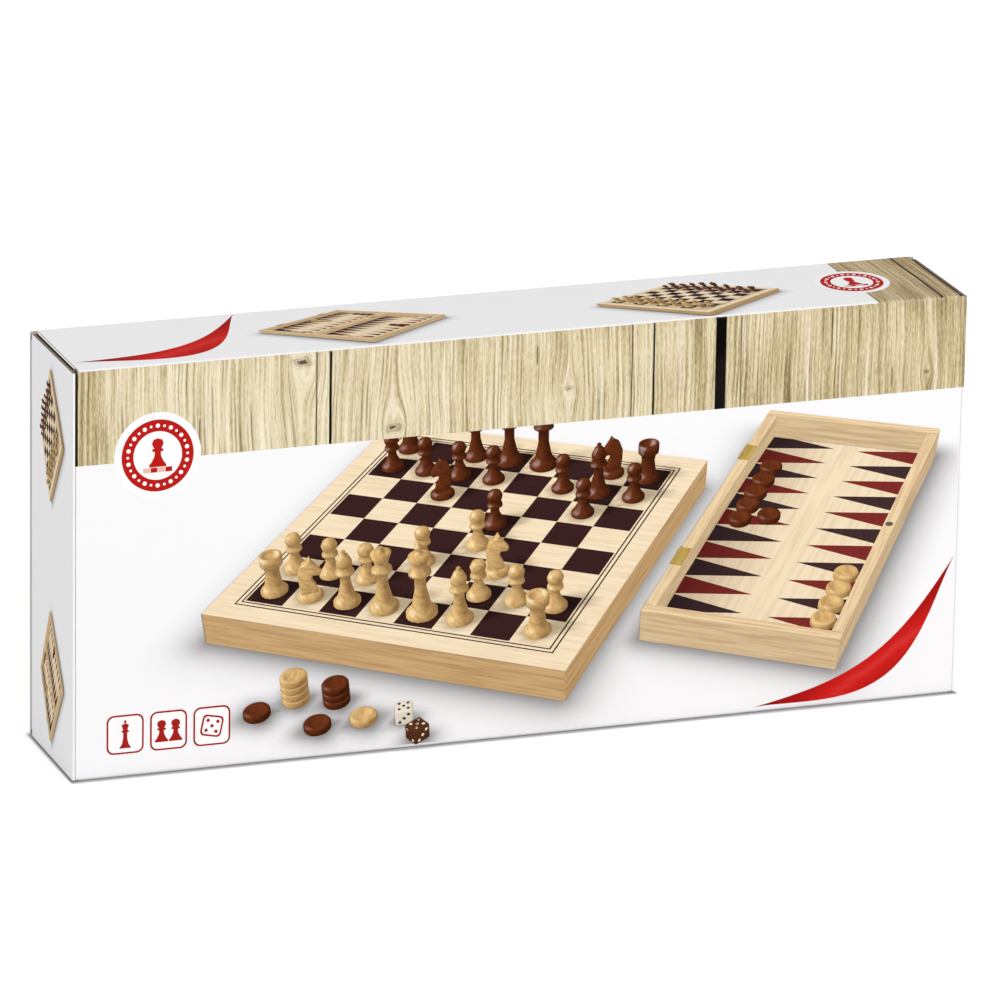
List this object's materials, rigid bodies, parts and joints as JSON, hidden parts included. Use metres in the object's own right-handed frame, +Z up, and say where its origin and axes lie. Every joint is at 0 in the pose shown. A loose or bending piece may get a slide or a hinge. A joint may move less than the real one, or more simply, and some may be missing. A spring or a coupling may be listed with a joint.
{
  "type": "games compendium box",
  "caption": "Tuck-end board carton, printed with a plank band and game boards, holding a folding wooden board case with chessmen, draughts and dice.",
  "frame": {"origin": "on the surface that the carton stands on, under the middle of the closed carton", "axes": "+X along the carton to the right end, +Y from the front panel to the back panel, +Z up"},
  "size_m": [0.45, 0.071, 0.203],
  "materials": {
    "printed_board": "printed and coated",
    "plain_board": "uncoated grey-white",
    "plywood": "varnished, printed with squares and points",
    "rail_wood": "clear satin varnish",
    "brass": "plated satin",
    "magnet": "nickel plated",
    "steel": "zinc plated",
    "light_men": "clear varnish",
    "dark_men": "stained and varnished",
    "light_dice": "polished",
    "dark_dice": "polished"
  },
  "bodies": {
    "carton": {"front_panel": "printed_board", "top_panel": "printed_board", "back_panel": "printed_board", "bottom_panel": "printed_board", "glue_flap": "plain_board"},
    "left_closure_body": {"left_closure": "printed_board"},
    "left_tuck_body": {"left_tuck_flap": "plain_board"},
    "left_top_dust_body": {"left_top_dust_flap": "plain_board"},
    "left_bottom_dust_body": {"left_bottom_dust_flap": "plain_board"},
    "right_closure_body": {"right_closure": "printed_board"},
    "right_tuck_body": {"right_tuck_flap": "plain_board"},
    "right_top_dust_body": {"right_top_dust_flap": "plain_board"},
    "right_bottom_dust_body": {"right_bottom_dust_flap": "plain_board"},
    "wooden_case": {"base_panel": "plywood", "base_hinge_rail": "rail_wood", "base_catch_rail": "rail_wood", "base_left_rail": "rail_wood", "base_right_rail": "rail_wood", "lid_panel": "plywood", "lid_hinge_rail": "rail_wood", "lid_catch_rail": "rail_wood", "lid_left_rail": "rail_wood", "lid_right_rail": "rail_wood", "base_hinge_leaves": "brass", "lid_hinge_leaves": "brass", "hinge_pins": "brass", "hinge_screws": "brass", "magnet": "magnet", "strike_disc": "steel", "light_kings": "light_men", "light_queens": "light_men", "light_bishops": "light_men", "light_knights": "light_men", "light_rooks": "light_men", "light_pawns": "light_men", "light_draughts": "light_men", "light_dice": "light_dice", "dark_kings": "dark_men", "dark_queens": "dark_men", "dark_bishops": "dark_men", "dark_knights": "dark_men", "dark_rooks": "dark_men", "dark_pawns": "dark_men", "dark_draughts": "dark_men", "dark_dice": "dark_dice"}
  },
  "joints": [
    {"name": "left_closure_hinge", "type": "hinge", "parent": "carton", "child": "left_closure_body", "pos_m": [-0.22425, -0.03475, 0.1015], "axis": [0, 0, 1], "range_deg": [0, 180]},
    {"name": "left_tuck_hinge", "type": "hinge", "parent": "left_closure_body", "child": "left_tuck_body", "pos_m": [-0.22425, 0.03225, 0.1015], "axis": [0, 0, 1], "range_deg": [0, 60]},
    {"name": "left_top_dust_hinge", "type": "hinge", "parent": "carton", "child": "left_top_dust_body", "pos_m": [-0.22255, 0, 0.20225], "axis": [0, 1, 0], "range_deg": [0, 90]},
    {"name": "left_bottom_dust_hinge", "type": "hinge", "parent": "carton", "child": "left_bottom_dust_body", "pos_m": [-0.22255, 0, 0.00075], "axis": [0, -1, 0], "range_deg": [0, 90]},
    {"name": "right_closure_hinge", "type": "hinge", "parent": "carton", "child": "right_closure_body", "pos_m": [0.22425, -0.03475, 0.1015], "axis": [0, 0, -1], "range_deg": [0, 180]},
    {"name": "right_tuck_hinge", "type": "hinge", "parent": "right_closure_body", "child": "right_tuck_body", "pos_m": [0.22425, 0.03225, 0.1015], "axis": [0, 0, -1], "range_deg": [0, 60]},
    {"name": "right_top_dust_hinge", "type": "hinge", "parent": "carton", "child": "right_top_dust_body", "pos_m": [0.22255, 0, 0.20225], "axis": [0, -1, 0], "range_deg": [0, 90]},
    {"name": "right_bottom_dust_hinge", "type": "hinge", "parent": "carton", "child": "right_bottom_dust_body", "pos_m": [0.22255, 0, 0.00075], "axis": [0, 1, 0], "range_deg": [0, 90]},
    {"name": "case_slide", "type": "slide", "parent": "carton", "child": "wooden_case", "axis": [1, 0, 0], "range_m": [-0.0075, 0.0075]}
  ],
  "couplings": [
    {"joint": "left_tuck_hinge", "follows": "left_closure_hinge", "ratio": 0.33333},
    {"joint": "left_top_dust_hinge", "follows": "left_closure_hinge", "ratio": 0.5},
    {"joint": "left_bottom_dust_hinge", "follows": "left_closure_hinge", "ratio": 0.5},
    {"joint": "right_tuck_hinge", "follows": "right_closure_hinge", "ratio": 0.33333},
    {"joint": "right_top_dust_hinge", "follows": "right_closure_hinge", "ratio": 0.5},
    {"joint": "right_bottom_dust_hinge", "follows": "right_closure_hinge", "ratio": 0.5}
  ]
}
